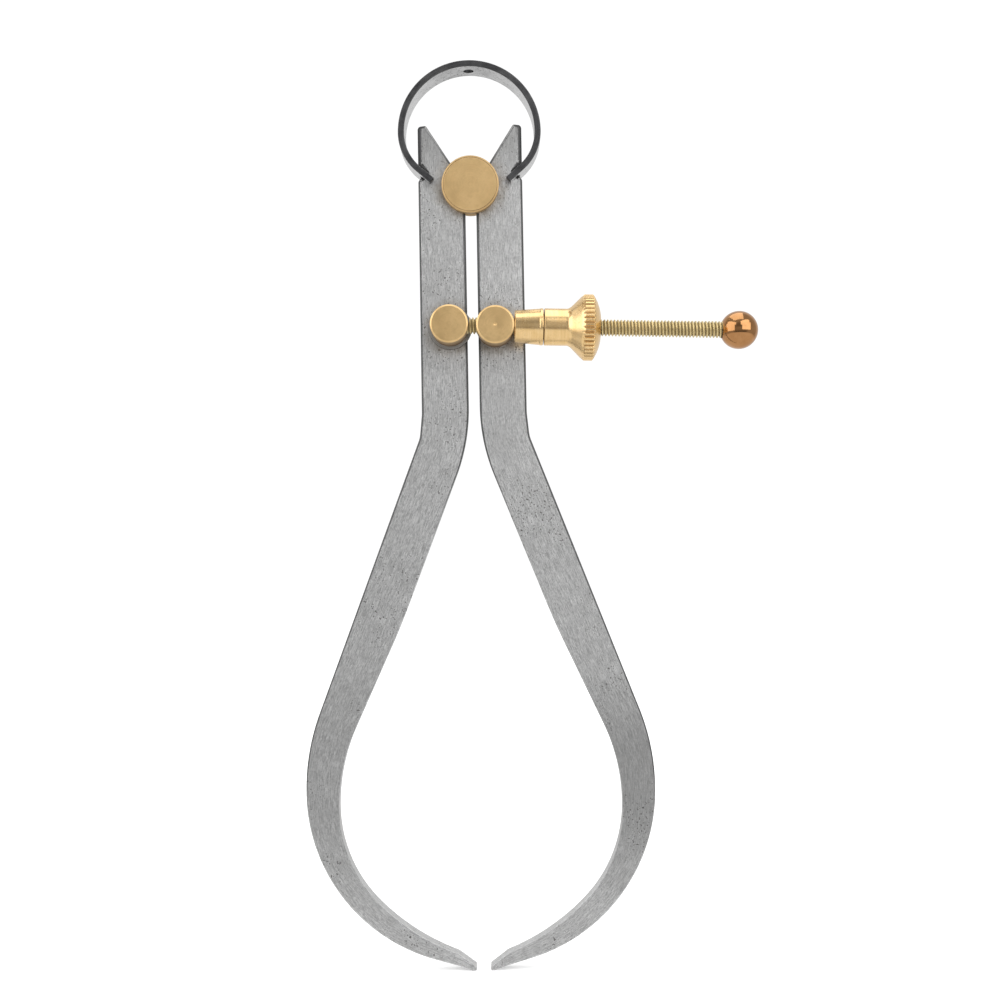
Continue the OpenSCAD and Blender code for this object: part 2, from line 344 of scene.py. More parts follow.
def plate(corners, back, front, edge, holes=(), cuts=(), all_cut=False):
    """Flat plate with rounded edges as a bmesh: outline in X and Y, thickness in Z. edge is the edges'
    radius, as a function of the outline's point and normal. holes are (x, y, radius). cuts are (axis,
    distance) planes that divide its flat faces, or all of it."""
    points, normals = rounded(corners)
    bm = new_bmesh()
    flat = bm.faces.layers.int.new("flat")
    steps = 4
    rings = []
    for end, way in ((front, 1), (back, -1)):
        for k in (range(steps + 1) if way > 0 else range(steps, -1, -1)):
            a = math.radians(90) * k / steps
            ring = []
            for p, n in zip(points, normals):
                e = edge(p, n)
                q = p - n * e * (1 - math.sin(a))
                ring.append(add_vertex(bm, (q[0], q[1], end - way * e * (1 - math.cos(a))),
                                       (n[0] * math.sin(a), n[1] * math.sin(a), way * math.cos(a)),
                                       edge=math.sin(a)))
            rings.append(ring)
    count = len(points)
    for one, two in zip(rings, rings[1:]):
        for i in range(count):
            bm.faces.new((one[i], one[(i + 1) % count], two[(i + 1) % count], two[i]))
    angles = np.linspace(0, 2 * math.pi, HOLE_SEGMENTS, endpoint=False)
    around = [(math.cos(t), math.sin(t)) for t in angles]
    hole_rings = [[[add_vertex(bm, (x + r * c, y + r * s, z), (0, 0, way)) for c, s in around]
                   for x, y, r in holes] for z, way in ((front, 1), (back, -1))]
    for x, y, r in holes:
        one, two = ([add_vertex(bm, (x + r * c, y + r * s, z), (-c, -s, 0), edge=1.0) for c, s in around]
                    for z in (front, back))
        for j in range(HOLE_SEGMENTS):
            k = (j + 1) % HOLE_SEGMENTS
            bm.faces.new((one[j], one[k], two[k], two[j]))
    for ring, inside in ((rings[0], hole_rings[0]), (rings[-1], hole_rings[1])):
        loops = [ring] + inside
        every = [v for loop in loops for v in loop]
        for tri in tessellate_polygon([[v.co.copy() for v in loop] for loop in loops]):
            if len(set(tri)) == 3:
                f = bm.faces.new([every[t] for t in tri])
                f[flat] = 1
    for axis, distance in cuts:
        normal = Vector((1, 0, 0) if axis == 0 else (0, 1, 0))
        faces = [f for f in bm.faces if all_cut or f[flat]]
        touched = [f for f in faces
                   if min(v.co[axis] for v in f.verts) < distance < max(v.co[axis] for v in f.verts)]
        edges = {e for f in touched for e in f.edges}
        verts = {v for f in touched for v in f.verts}
        bmesh.ops.bisect_plane(bm, geom=[*verts, *edges, *touched], dist=1e-6,
                               plane_co=normal * distance, plane_no=normal)
    return bm


# ---------------------------------------------------------------- node helpers


def add(tree, kind, inputs=None, **settings):
    node = tree.nodes.new(kind)
    for key, value in settings.items():
        setattr(node, key, value)
    for key, value in (inputs or {}).items():
        if isinstance(value, bpy.types.NodeSocket):
            tree.links.new(value, node.inputs[key])
        else:
            node.inputs[key].default_value = value
    return node


def blank(name):
    material = bpy.data.materials.new(name)
    material.use_nodes = True
    tree = material.node_tree
    tree.nodes.clear()
    return material, tree


def attribute(tree, name):
    return add(tree, "ShaderNodeAttribute", attribute_name=name).outputs["Fac"]


def grain_uv(tree):
    """Millimetres across and along a flat piece, or round and along a turned one."""
    return add(tree, "ShaderNodeUVMap", uv_map="grain").outputs["UV"]


def metres(tree):
    return add(tree, "ShaderNodeTexCoord").outputs["Object"]


def noise(tree, source, scale, shift=(0, 0, 0), detail=4.0, rough=0.6):
    """Noise with scale cells for each unit of source; scale is one number or one for each axis."""
    scale = scale if isinstance(scale, tuple) else (scale, scale, scale)
    placed = add(tree, "ShaderNodeMapping", {"Vector": source, "Scale": scale, "Location": shift})
    return add(tree, "ShaderNodeTexNoise", {"Vector": placed.outputs["Vector"], "Scale": 1.0,
                                            "Detail": detail, "Roughness": rough}).outputs["Fac"]


def ranged(tree, value, low, high, to_low=0.0, to_high=1.0):
    """to_low up to low, to_high from high on, and a smooth step between."""
    return add(tree, "ShaderNodeMapRange", {"Value": value, "From Min": low, "From Max": high,
                                            "To Min": to_low, "To Max": to_high},
               interpolation_type="SMOOTHSTEP").outputs["Result"]


def maths(tree, operation, a, b):
    return add(tree, "ShaderNodeMath", {0: a, 1: b}, operation=operation).outputs["Value"]


def plus(tree, a, b):
    return maths(tree, "ADD", a, b)


def times(tree, a, b):
    return maths(tree, "MULTIPLY", a, b)


def weighed(tree, a, share_a, b, share_b):
    return plus(tree, times(tree, a, share_a), times(tree, b, share_b))


def mixed(tree, factor, a, b):
    """Colour between a and b; each is a socket or (red, green, blue)."""
    a, b = ((*c, 1.0) if isinstance(c, tuple) else c for c in (a, b))
    return add(tree, "ShaderNodeMix", {"Factor": factor, 6: a, 7: b}, data_type="RGBA").outputs[2]


def between(tree, factor, a, b):
    """Number between a and b."""
    return add(tree, "ShaderNodeMix", {"Factor": factor, 2: a, 3: b}, data_type="FLOAT").outputs[0]


def grey(level, blue=0.0):
    return level, level, level + blue


def surface(tree, colour, rough, height, strength, distance, metallic=1.0):
    """The closing nodes: Principled surface, bump and output."""
    bump = add(tree, "ShaderNodeBump", {"Height": height, "Strength": strength, "Distance": distance})
    shader = add(tree, "ShaderNodeBsdfPrincipled", {
        "Base Color": colour, "Roughness": rough, "Metallic": metallic, "Normal": bump.outputs["Normal"]})
    add(tree, "ShaderNodeOutputMaterial", {"Surface": shader.outputs["BSDF"]})


def near(tree, points, x, z, inner, outer):
    """1 close to the point (x, z) of the front view, 0 beyond outer, in millimetres."""
    flat = add(tree, "ShaderNodeVectorMath", {0: points, 1: (1, 0, 1)}, operation="MULTIPLY")
    far = add(tree, "ShaderNodeVectorMath", {0: flat.outputs["Vector"], 1: (x * MM, 0, z * MM)},
              operation="DISTANCE")
    return ranged(tree, far.outputs["Value"], inner * MM, outer * MM, 1.0, 0.0)


def near_any(tree, points, spots):
    """The most that near gives for any of the (x, z, inner, outer) spots."""
    most = near(tree, points, *spots[0])
    for spot in spots[1:]:
        most = maths(tree, "MAXIMUM", most, near(tree, points, *spot))
    return most


# ---------------------------------------------------------------- materials

# Where the brass pieces cross the legs, as (x, z)
FULCRUM_SPOT = (0, 0)
ANCHOR_SPOT = (ANCHOR_STUD.x, ANCHOR_STUD.z)
GUIDE_SPOT = (GUIDE_STUD.x, GUIDE_STUD.z)


def ground_steel(name, way, seed, pits, dulled):
    """Ground steel of the leg on side way, -1 or 1: fine grain along it, pits, dark edges, and grime with
    painted shade at the brass. pits makes them more common, dulled darkens the leg's widest part."""
    material, tree = blank(name)
    uv, place, edge = grain_uv(tree), metres(tree), attribute(tree, "edge")

    fine = noise(tree, uv, (6.5, 0.4, 1), (seed, 0, 0))
    finer = noise(tree, uv, (17.0, 1.5, 1), (seed, 3, 0), detail=3.0)
    speck = noise(tree, place, 2400, (0, seed, 0), detail=2.0, rough=0.5)
    cloud = noise(tree, place, 140, (seed, 0, 0))
    grain = weighed(tree, weighed(tree, fine, 0.5, finer, 0.5), 0.85, speck, 0.15)
    tone = mixed(tree, ranged(tree, grain, 0.38, 0.62), grey(0.44), grey(0.96, -0.005))
    tone = mixed(tree, ranged(tree, cloud, 0.3, 0.75, 0.0, 0.4), tone, grey(0.54, -0.005))

    # Duller towards the horns and round the widest part
    up = add(tree, "ShaderNodeSeparateXYZ", {"Vector": place}).outputs["Z"]
    tone = mixed(tree, ranged(tree, up, 1 * MM, 9 * MM, 0.0, 0.55), tone, grey(0.36, -0.005))
    widest = near(tree, place, way * 29, -114, 4, 26)
    tone = mixed(tree, times(tree, widest, dulled), tone, grey(0.30, -0.005))

    # Pits, in patches and beside the brass
    patches = ranged(tree, noise(tree, place, 90, (0, 0, seed), detail=2.0, rough=0.5), 0.40, 0.62)
    beside = near_any(tree, place, [(*spot, 5, 11) for spot in (FULCRUM_SPOT, ANCHOR_SPOT, GUIDE_SPOT)])
    pit = times(tree, ranged(tree, speck, 0.63 - pits, 0.68 - pits), maths(tree, "MAXIMUM", patches, beside))
    tone = mixed(tree, times(tree, pit, 0.85), tone, (0.09, 0.085, 0.08))

    # Brown grime round the fulcrum's head and the studs, with painted shade and a painted brown reflection of
    # the brass on the steel
    grime_and_shade = near_any(tree, place, [(*FULCRUM_SPOT, 5.2, 8.5), (*ANCHOR_SPOT, 3.7, 6.2),
                                   (*GUIDE_SPOT, 3.7, 6.2)])
    patchy = noise(tree, place, 700, (seed, seed, 0), rough=0.65)
    grime_and_shade = times(tree, grime_and_shade, ranged(tree, patchy, 0.3, 0.65, 0.25, 1.0))
    tone = mixed(tree, times(tree, grime_and_shade, 0.75), tone, (0.26, 0.22, 0.17))

    # Dark oxidised edges and sides, except where the leg carries the "clean" value
    oxide = ranged(tree, plus(tree, edge, times(tree, speck, 0.2)), 0.12, 0.34)
    oxide = times(tree, oxide, ranged(tree, edge, 0.93, 1.0, 1.0, 0.5))
    oxide = times(tree, oxide, ranged(tree, attribute(tree, "clean"), 0.0, 1.0, 1.0, 0.25))
    tone = mixed(tree, times(tree, oxide, 0.96), tone, (0.025, 0.025, 0.026))

    rough = plus(tree, ranged(tree, grain, 0.3, 0.7, 0.30, 0.42), times(tree, grime_and_shade, 0.12))
    height = maths(tree, "SUBTRACT", times(tree, grain, 0.5), pit)
    surface(tree, tone, rough, height, 0.35, 0.02 * MM, metallic=ranged(tree, oxide, 0.0, 1.0, 1.0, 0.3))
    return material


def spring_steel():
    """Bow: grey rolled faces with a grain round the strip, and dark oxidised edges."""
    material, tree = blank("spring_steel")
    uv, place, edge = grain_uv(tree), metres(tree), attribute(tree, "edge")
    grain = noise(tree, uv, (0.5, 6.0, 1))
    cloud = noise(tree, place, 350)
    speck = noise(tree, place, 2600, detail=2.0, rough=0.5)

    # Faces, more worn and speckled near the crown
    crown = near(tree, place, 0, BOW_Z + BOW_R, 4, 13)
    worn = times(tree, crown, ranged(tree, cloud, 0.3, 0.7, 0.3, 0.8))
    face = mixed(tree, ranged(tree, grain, 0.35, 0.65), grey(0.50), grey(0.74))
    face = mixed(tree, worn, face, grey(0.30))
    marks = plus(tree, speck, times(tree, crown, 0.06))
    face = mixed(tree, ranged(tree, marks, 0.64, 0.70, 0, 0.85), face, grey(0.07))

    dark = mixed(tree, ranged(tree, cloud, 0.3, 0.7), grey(0.050, 0.002), grey(0.095, 0.002))
    dark = mixed(tree, ranged(tree, grain, 0.35, 0.75, 0, 0.4), dark, grey(0.16, 0.005))
    tone = mixed(tree, ranged(tree, edge, 0.25, 0.6), face, dark)
    rough = plus(tree, ranged(tree, edge, 0.25, 0.6, 0.22, 0.38), times(tree, cloud, 0.16))
    surface(tree, tone, rough, weighed(tree, grain, 0.5, speck, 0.4), 0.4, 0.03 * MM)
    return material


def shade(colour, *shares):
    return tuple(c * share for c, share in zip(colour, shares))


def turned_metal(name, light, dark, rough, lines, gritty, seed, fine=900, tarnish=0.3):
    """Brass, bronze or turned steel: turning lines round the axis, clouding and tarnish. lines is the share
    of the turning lines, gritty how much the roughness varies."""
    material, tree = blank(name)
    uv, place, edge = grain_uv(tree), metres(tree), attribute(tree, "edge")
    ring = noise(tree, uv, (0.12, 9.0, 1), (seed, 0, 0), rough=0.65)
    cloud = noise(tree, place, 260, (seed, 0, 0))
    grit = noise(tree, place, fine, (0, seed, 0), detail=3.0)

    tone = mixed(tree, ranged(tree, weighed(tree, ring, lines, cloud, 1 - lines), 0.35, 0.65), dark, light)
    stain = ranged(tree, weighed(tree, cloud, 0.5, grit, 0.5), 0.50, 0.70, 0.0, tarnish)
    tone = mixed(tree, stain, tone, shade(dark, 0.6, 0.52, 0.45))
    # Darker where the edge value is high: dark edges and tarnish, and also painted shade on the walls of the
    # studs and the fulcrum and in the gap between ferrule and nut
    tone = mixed(tree, ranged(tree, edge, 0.0, 0.9), tone, shade(dark, 0.10, 0.07, 0.05))

    varied = weighed(tree, grit, gritty, ring, 0.05)
    roughness = plus(tree, plus(tree, rough, varied), times(tree, edge, 0.3))
    height = weighed(tree, ring, lines, grit, 0.25)
    surface(tree, tone, roughness, height, 0.25, 0.02 * MM, metallic=ranged(tree, edge, 0.1, 1.0, 1.0, 0.1))
    return material


STEEL_LEFT = ground_steel("ground_steel_left", -1, 3.7, 0.00, 0.2)
STEEL_RIGHT = ground_steel("ground_steel_right", 1, 11.3, 0.03, 0.5)
SPRING = spring_steel()
SATIN = turned_metal("satin_brass", (0.82, 0.575, 0.28), (0.66, 0.45, 0.21), 0.30, 0.25, 0.16, 2.1)
POLISHED = turned_metal("polished_brass", (0.93, 0.67, 0.35), (0.80, 0.535, 0.235), 0.18, 0.5, 0.10, 5.3)
SCREW = turned_metal("screw_brass", (0.84, 0.70, 0.40), (0.66, 0.54, 0.29), 0.30, 0.2, 0.2, 7.9, 1600, 0.6)
BRONZE = turned_metal("bronze", (0.50, 0.26, 0.11), (0.42, 0.205, 0.08), 0.03, 0.1, 0.05, 9.4)
WASHER = turned_metal("plain_steel", (0.50, 0.49, 0.47), (0.36, 0.35, 0.33), 0.32, 0.6, 0.15, 4.4)

# ---------------------------------------------------------------- legs

HORN_TOP = 11.7
# Inner slant of a horn, sideways for each millimetre up, from this height
HORN_SLOPE, SLANT_FROM = 0.635, 0.25
SLANT = math.atan(HORN_SLOPE)
# The outer sides of the horns, which have the widest rounding, start here
HORN_SIDE_X, HORN_SIDE_Z = LEG_OUT - 0.9, 3.4
SHANK_HOLE_R = 2.05
# Seat on the fulcrum's core, from the inner edge to the horn's slant
SEAT_R = 3.55
SEAT_FROM = -math.acos(LEG_IN / SEAT_R)
SLANT_OFFSET = (LEG_IN - SLANT_FROM * HORN_SLOPE) * math.cos(SLANT)
SEAT_TO = math.radians(90) - SLANT - math.asin(SLANT_OFFSET / SEAT_R)

LEG_CORNERS = [
    # Horn's top and outer side
    (LEG_IN + HORN_SLOPE * (HORN_TOP - SLANT_FROM), HORN_TOP, 0.4),
    (LEG_OUT, HORN_TOP, 0.7),
    # Notch for the bow's forked end
    (LEG_OUT, 4.16, 0.2),
    (8.118, 2.572, 0.12),
    (9.102, 1.440, 0.12),
    (LEG_OUT - 0.5, 1.8, 0.2),
    (LEG_OUT, 1.0, 0.5),
    # Outer edge
    (LEG_OUT + 0.1, TIP + 106.5, 5),
    (LEG_OUT + 0.55, TIP + 102, 5),
    (33.4, TIP + 42.3, 42),
    (33.4, TIP + 9.2, 33.4),
    # Tip
    (3.9, TIP + 0.6, 2),
    (2.3, TIP, 0.5),
    (1.36, TIP, 0.28),
    (1.36, TIP + 0.65, 0.28),
    (4.72, TIP + 3.16, 1.5),
    # Inner edge
    (13.1, TIP + 6.44, 42),
    (27.13, TIP + 20.45, 26),
    (27.13, TIP + 39.3, 36),
    (14.8, TIP + 66, 150),
    (LEG_IN, TIP + 101.1, 36)]
for angle in np.linspace(SEAT_FROM, SEAT_TO, 17):
    inside = SEAT_FROM < angle < SEAT_TO
    LEG_CORNERS.append((SEAT_R * math.cos(angle), SEAT_R * math.sin(angle), 3.0 if inside else 0.05))


def leg_middle():
    """Points down the middle of a leg, from its top to its tip."""
    points, _ = rounded(LEG_CORNERS)
    points, _ = filled(points, points + 1, 1.0, closed=True)
    tip = int(np.argmin(points[:, 1]))
    outer, inner = points[:tip], points[tip:]
    straight_x = (LEG_IN + LEG_OUT) / 2
    line = [(straight_x, HORN_TOP), (straight_x, 2.0)]
    for p in inner[::-1][::2]:
        if p[1] < -SEAT_R:
            q = outer[np.argmin(((outer - p) ** 2).sum(axis=1))]
            line.append((p + q) / 2)
    return np.array(line)


def grain_of(line, p):
    """Distance across and along the middle line, for a point of the front view."""
    a, b = line[:-1], line[1:]
    d = b - a
    length = np.linalg.norm(d, axis=1)
    t = np.clip(((p - a) * d).sum(axis=1) / length ** 2, 0, 1)
    foot = a + d * t[:, None]
    gap = np.linalg.norm(p - foot, axis=1)
    i = int(np.argmin(gap))
    along = length[:i].sum() + t[i] * length[i]
    across = (d[i][0] * (p - foot[i])[1] - d[i][1] * (p - foot[i])[0]) / length[i]
    return across, along


def below(z, start, length):
    """0 above z = start, 1 below it by length, and even between."""
    return np.clip((start - z) / length, 0, 1)


def edge_radius(p, n):
    """Rounding of a leg's edges: wide on the horns, fine on the lower legs' inner sides."""
    if p[0] > HORN_SIDE_X and p[1] > HORN_SIDE_Z:
        return 0.85
    return 0.5 - below(p[1], -40, 30) * (0.4 if n[0] < 0 else 0.16)


def cleanness(z, facing):
    """How free of oxide a leg's side is: its horn's slant and its lower part, sooner on the inner side."""
    if facing >= 0:
        return below(z, -110, 14)
    return 0.65 if z > 2.5 else below(z, -52, 26)


def leg(name, way, stud, body, material, node):
    bm = plate(LEG_CORNERS, LEG_BACK, LEG_FRONT, edge_radius, [(abs(stud.x), stud.z, SHANK_HOLE_R)],
               cuts=[(1, z) for z in np.arange(TIP + 1.3, HORN_TOP, 1.9)])
    line = leg_middle()
    layers = bm.verts.layers
    clean = layers.float.new("clean")
    n_layer, uv_layer, edge = layers.float_vector["n"], layers.float_vector["uv"], layers.float["edge"]
    for v in bm.verts:
        x, z, depth = v.co
        nx, nz, ny = v[n_layer]
        across, along = grain_of(line, np.array((x, z)))
        v[uv_layer] = (across + depth, along, 0)
        v[clean] = cleanness(z, nx)
        if x > HORN_SIDE_X and z > HORN_SIDE_Z:
            v[edge] = min(v[edge], 0.9)
        v.co = (way * x, -depth, z)
        v[n_layer] = (way * nx, -ny, nz)
    return finish_mesh(name, bm, body, material, [node])


leg("left_leg_plate", -1, ANCHOR_STUD, "left_leg", STEEL_LEFT, "leg_left")
leg("right_leg_plate", 1, GUIDE_STUD, "right_leg", STEEL_RIGHT, "leg_right")

# ---------------------------------------------------------------- bow spring

# Radii of the strip's middle and lengths along it
MID_R, MID_SIDE = BOW_R - STRIP_T / 2, SIDE_R - STRIP_T / 2
TOP_LEN = math.radians(90) * MID_R
SIDE_LEN = (math.radians(90) - END_ANGLE) * MID_SIDE
HALF_LEN = TOP_LEN + SIDE_LEN + END_LEN


def bow_path(s):
    """Point and outward normal of the strip's middle, s millimetres from the crown, as (x, z)."""
    way = -1 if s < 0 else 1
    s = abs(s)
    centre, r = ((0, BOW_Z), MID_R) if s <= TOP_LEN else ((SIDE_X, BOW_Z), MID_SIDE)
    if s <= TOP_LEN:
        a = math.radians(90) - s / MID_R
    else:
        a = -min(s - TOP_LEN, SIDE_LEN) / MID_SIDE
    n = np.array((math.cos(a), math.sin(a)))
    straight = max(0.0, s - TOP_LEN - SIDE_LEN)
    p = np.array(centre) + n * r - np.array((math.cos(END_ANGLE), math.sin(END_ANGLE))) * straight
    return np.array((way * p[0], p[1])), np.array((way * n[0], n[1]))


def bow():
    end, web = HALF_LEN, HALF_LEN - FORK_LEN
    low, high = LEG_BACK - 0.1, LEG_FRONT + 0.1
    corners = [
        (-end, STRIP_FRONT, 0.25), (end, STRIP_FRONT, 0.25), (end, high, 0.25), (web, high, 0.3),
        (web, low, 0.3), (end, low, 0.25), (end, STRIP_BACK, 0.25), (-end, STRIP_BACK, 0.25),
        (-end, low, 0.25), (-web, low, 0.3), (-web, high, 0.3), (-end, high, 0.25)]
    bm = plate(corners, -STRIP_T / 2, STRIP_T / 2, lambda p, n: 0.2,
               [(0, (STRIP_BACK + STRIP_FRONT) / 2, CROWN_HOLE_R)],
               cuts=[(0, s) for s in np.linspace(-HALF_LEN, HALF_LEN, 127)[1:-1]], all_cut=True)
    layers = bm.verts.layers
    n_layer, uv_layer = layers.float_vector["n"], layers.float_vector["uv"]
    for v in bm.verts:
        s, across, out = v.co
        ns, na, no = v[n_layer]
        p, n = bow_path(s)
        q = p + n * out
        m = n * no + np.array((n[1], -n[0])) * ns
        v[uv_layer] = (s, across + out, 0)
        v.co = (q[0], -across, q[1])
        v[n_layer] = (m[0], -na, m[1])
    return finish_mesh("bow_strip", bm, None, SPRING,
                       ["bow_spring_left_half", "bow_spring_right_half"])


strip = bow()
crown = (BOW_Z + BOW_R) * MM
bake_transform(strip, "bow_left", "bow_right", start=(-0.005, -0.003, crown), end=(0.005, -0.003, crown))

# ---------------------------------------------------------------- fulcrum and studs

HEAD_R, CAP_R, CORE_R, TENON_R = 5.45, 4.9, 3.5, 1.75
# Scribed line near the edge of the fulcrum's head, half its width and its depth
SCRIBE_R, SCRIBE_W, SCRIBE_DEPTH = 5.1, 0.09, 0.06


def rim(r, h, n):
    """Darkening of a turned disc: in its scribed line and on its bevel, and painted shade round its wall."""
    scribe = max(0.0, 0.8 - abs(r - SCRIBE_R) / 0.12) if h > HEAD_FRONT - 0.2 else 0.0
    bevel = 0.35 if r > SCRIBE_R + 0.05 and n[1] > 0.5 else 0.0
    return max(scribe, bevel, 0.5 if abs(n[0]) > 0.9 else 0.0)


lathe("fulcrum_head", [
    (0, HEAD_FRONT, 0), (SCRIBE_R - SCRIBE_W, HEAD_FRONT, 0.01), (SCRIBE_R, HEAD_FRONT - SCRIBE_DEPTH, 0.01),
    (SCRIBE_R + SCRIBE_W, HEAD_FRONT, 0.01), (HEAD_R, HEAD_FRONT - 0.14, 0.04), (HEAD_R, HEAD_BACK, 0.1),
    (CORE_R, HEAD_BACK, 0.03), (CORE_R, BEHIND_LEGS, 0.03), (TENON_R, BEHIND_LEGS, 0.03),
    (TENON_R, 0.05, 0.12), (1.3, 0.0, 0.5), (0, 0.0, 0)],
    AT_FULCRUM, "fulcrum", SATIN, ["fulcrum_stud"], 128, dark=rim)
CAP_BORE_R = TENON_R + 0.05
lathe("fulcrum_cap", [
    (CAP_BORE_R, BEHIND_LEGS, 0.02), (CAP_R, BEHIND_LEGS, 0.1), (CAP_R, 0.0, 0.25), (2.0, 0.0, 0.1),
    (CAP_BORE_R, 0.25, 0.05), (CAP_BORE_R, BEHIND_LEGS, 0.02)],
    AT_FULCRUM, "fulcrum", SATIN, ["fulcrum_rear_cap"], 128, dark=rim)


def swivel_stud(name, place, back, body, node, drill, centre_mark):
    """Stud with its head from back to STUD_FRONT, a shank through the leg, a tenon and a riveted tail."""
    chamfer = 0.32
    mark_r, mark_depth = 0.33, 0.35
    shank, tenon, tail = 2.0, 1.3, 1.7

    # Painted shade: the head's wall is painted dark, darkest next to the leg, as shade under the stud's head
    def wall_painted_shade(r, h, n):
        if abs(n[0]) <= 0.9:
            return 0.0
        return 0.85 - 0.45 * (h - back) / (STUD_FRONT - back)

    if centre_mark:
        face = [(0, STUD_FRONT - mark_depth, 0), (mark_r, STUD_FRONT, 0.1)]
    else:
        face = [(0, STUD_FRONT, 0)]
    lathe(name, face + [
        (STUD_R - chamfer, STUD_FRONT, 0.06), (STUD_R, STUD_FRONT - 0.6 * chamfer, 0.06),
        (STUD_R, back, 0.12), (shank, back, 0.03), (shank, BEHIND_LEGS, 0.03), (tenon, BEHIND_LEGS, 0.03),
        (tenon, 0.8, 0.03), (tail, 0.8, 0.1), (tail - 0.08, 0.55, 0.2), (1.0, 0.4, 0.5), (0, 0.4, 0)],
        place, body, SATIN, [node], 112, drill=drill, dark=wall_painted_shade)


def hole_along(place, start, end, radius):
    return place @ Matrix.Translation((0, 0, (start + end) / 2)), radius, end - start


FRONT_WASHER_FRONT = 5.08
# The lock pin crosses the screw just left of the anchor stud's axis
PIN_R = 0.6
PIN_AT = SCREW_FROM_ANCHOR @ Matrix.Translation((0, 0, -1.2)) @ Matrix.Rotation(math.radians(90), 4, "X")
swivel_stud("anchor_swivel_stud", AT_ANCHOR, FRONT_WASHER_FRONT + 0.02, "anchor", "anchor_stud",
            [hole_along(SCREW_FROM_ANCHOR, -2.97, 8, 1.61), hole_along(PIN_AT, -2.5, 6, PIN_R + 0.02)], False)
swivel_stud("guide_swivel_stud", AT_GUIDE, HEAD_BACK, "guide", "guide_stud",
            [hole_along(SCREW_FROM_GUIDE, -8, 8, SCREW_R + 0.25)], True)


def washer(name, place, outer, inner, back, front, body, node):
    lathe(name, [(inner, front, 0.02), (outer, front, 0.08), (outer, back, 0.08), (inner, back, 0.02),
                 (inner, front, 0.02)], place, body, WASHER, [node], 96,
          dark=lambda r, h, n: 0.9 if abs(n[0]) > 0.4 else 0.0)


washer("anchor_front_washer_ring", AT_ANCHOR, 4.15, 2.04, HEAD_BACK, FRONT_WASHER_FRONT, "anchor",
       "anchor_front_washer")
washer("anchor_rear_washer_ring", AT_ANCHOR, 3.2, 1.34, 0.82, 1.58, "anchor", "anchor_rear_washer")
washer("guide_rear_washer_ring", AT_GUIDE, 3.2, 1.34, 0.82, 1.58, "guide", "guide_rear_washer")
lathe("screw_lock_pin_body", [(0, 3.2, 0), (PIN_R, 3.2, 0.12), (PIN_R, -2.4, 0.12), (0, -2.4, 0)],
      PIN_AT, "anchor", WASHER, ["screw_lock_pin"], 32)

# ---------------------------------------------------------------- screw, ball, ferrule and nut

# Distances along the screw from its stud's axis
BALL_X, BALL_R = 54.5, 3.575
THREAD_START, THREAD_END = STUD_R - 0.4, BALL_X - BALL_R + 0.3
FERRULE_X = STUD_R + 0.02
FERRULE_END = FERRULE_X + 5.36
NOSE_X = FERRULE_END - 1.75
NUT_X = FERRULE_END + 0.24
KNURL_X = NUT_X + 7.18
KNURL_END = KNURL_X + 2.26
NUT_END = KNURL_END + 1.1
BARREL_R, NOSE_R, BORE_R = 3.48, 2.45, SCREW_R + 0.25
KNURL_R, KNURL_DEPTH, KNURL_N = 6.2, 0.4, 42


def threaded_rod():
    """Right-hand thread swept along its helix, with tarnish in its roots."""
    r, depth = SCREW_R, 0.6 * PITCH
    around = 36
    # (share of the pitch, radius) from one crest to the next
    profile = [
        (0.0, r - 0.02), (0.05, r), (0.20, r), (0.26, r - 0.025),
        (0.57, r - depth + 0.02), (0.63, r - depth), (0.68, r - depth), (0.74, r - depth + 0.02)]
    turns = int((THREAD_END + 0.8 - THREAD_START) / PITCH)
    turn = SCREW_FROM_ANCHOR.to_3x3()
    bm = new_bmesh()
    rows = []
    for i in range(turns * around + 1):
        a = 2 * math.pi * i / around
        c, s = math.cos(a), math.sin(a)
        row = []
        for u, radius in profile:
            h = THREAD_START + (i / around + u) * PITCH
            row.append(add_vertex(bm, SCREW_FROM_ANCHOR @ Vector((radius * c, radius * s, h)),
                                  turn @ Vector((c, s, 0)), (a * r, h), 0.6 * (r - radius) / depth))
        rows.append(row)
    for i in range(len(rows) - 1):
        one, two = list(rows[i]), list(rows[i + 1])
        if i + 1 + around < len(rows):
            one.append(rows[i + around][0])
            two.append(rows[i + 1 + around][0])
        for j in range(len(one) - 1):
            bm.faces.new((one[j], one[j + 1], two[j + 1], two[j]))
    return finish_mesh("adjusting_screw_thread", bm, "anchor", SCREW, ["adjusting_screw"],
                       normals=False)


def ball_profile():
    """Ball with a short plug inside the screw's end."""
    plug_r, arcs = 1.62, 40
    profile = [(0, BALL_X + BALL_R, 0)]
    for k in range(1, arcs):
        a = math.radians(90 - k * 180 / arcs)
        if BALL_R * math.cos(a) > plug_r or a > 0:
            profile.append((BALL_R * math.cos(a), BALL_X + BALL_R * math.sin(a), 0.001))
    neck = BALL_X - math.sqrt(BALL_R ** 2 - plug_r ** 2)
    return profile + [(plug_r, neck, 0.001), (plug_r, neck + 1.2, 0.01), (0, neck + 1.2, 0)]


def knurl(angle):
    """Radius round the knurl: slightly crowned ridges with V grooves between them."""
    ridge, bottom, crowned = 0.4, 0.7, 0.02
    step = 2 * math.pi / KNURL_N
    part = (angle / step) % 1.0
    if part < ridge:
        return KNURL_R - crowned * abs(part - ridge / 2) / (ridge / 2)
    return KNURL_R - crowned - KNURL_DEPTH * (1 - abs(part - bottom) / (bottom - ridge))


threaded_rod()
PLAIN_R, PLAIN_END = 1.5, -STUD_R + 0.65
lathe("screw_plain_end", [
    (0, THREAD_START + 0.1, 0), (PLAIN_R, THREAD_START + 0.1, 0.05), (PLAIN_R, PLAIN_END, 0.2),
    (0, PLAIN_END, 0)],
    SCREW_FROM_ANCHOR, "anchor", SCREW, (), 48)
lathe("ball_end_turned", ball_profile(), SCREW_FROM_ANCHOR, "anchor", BRONZE, ["ball_end"], 96)

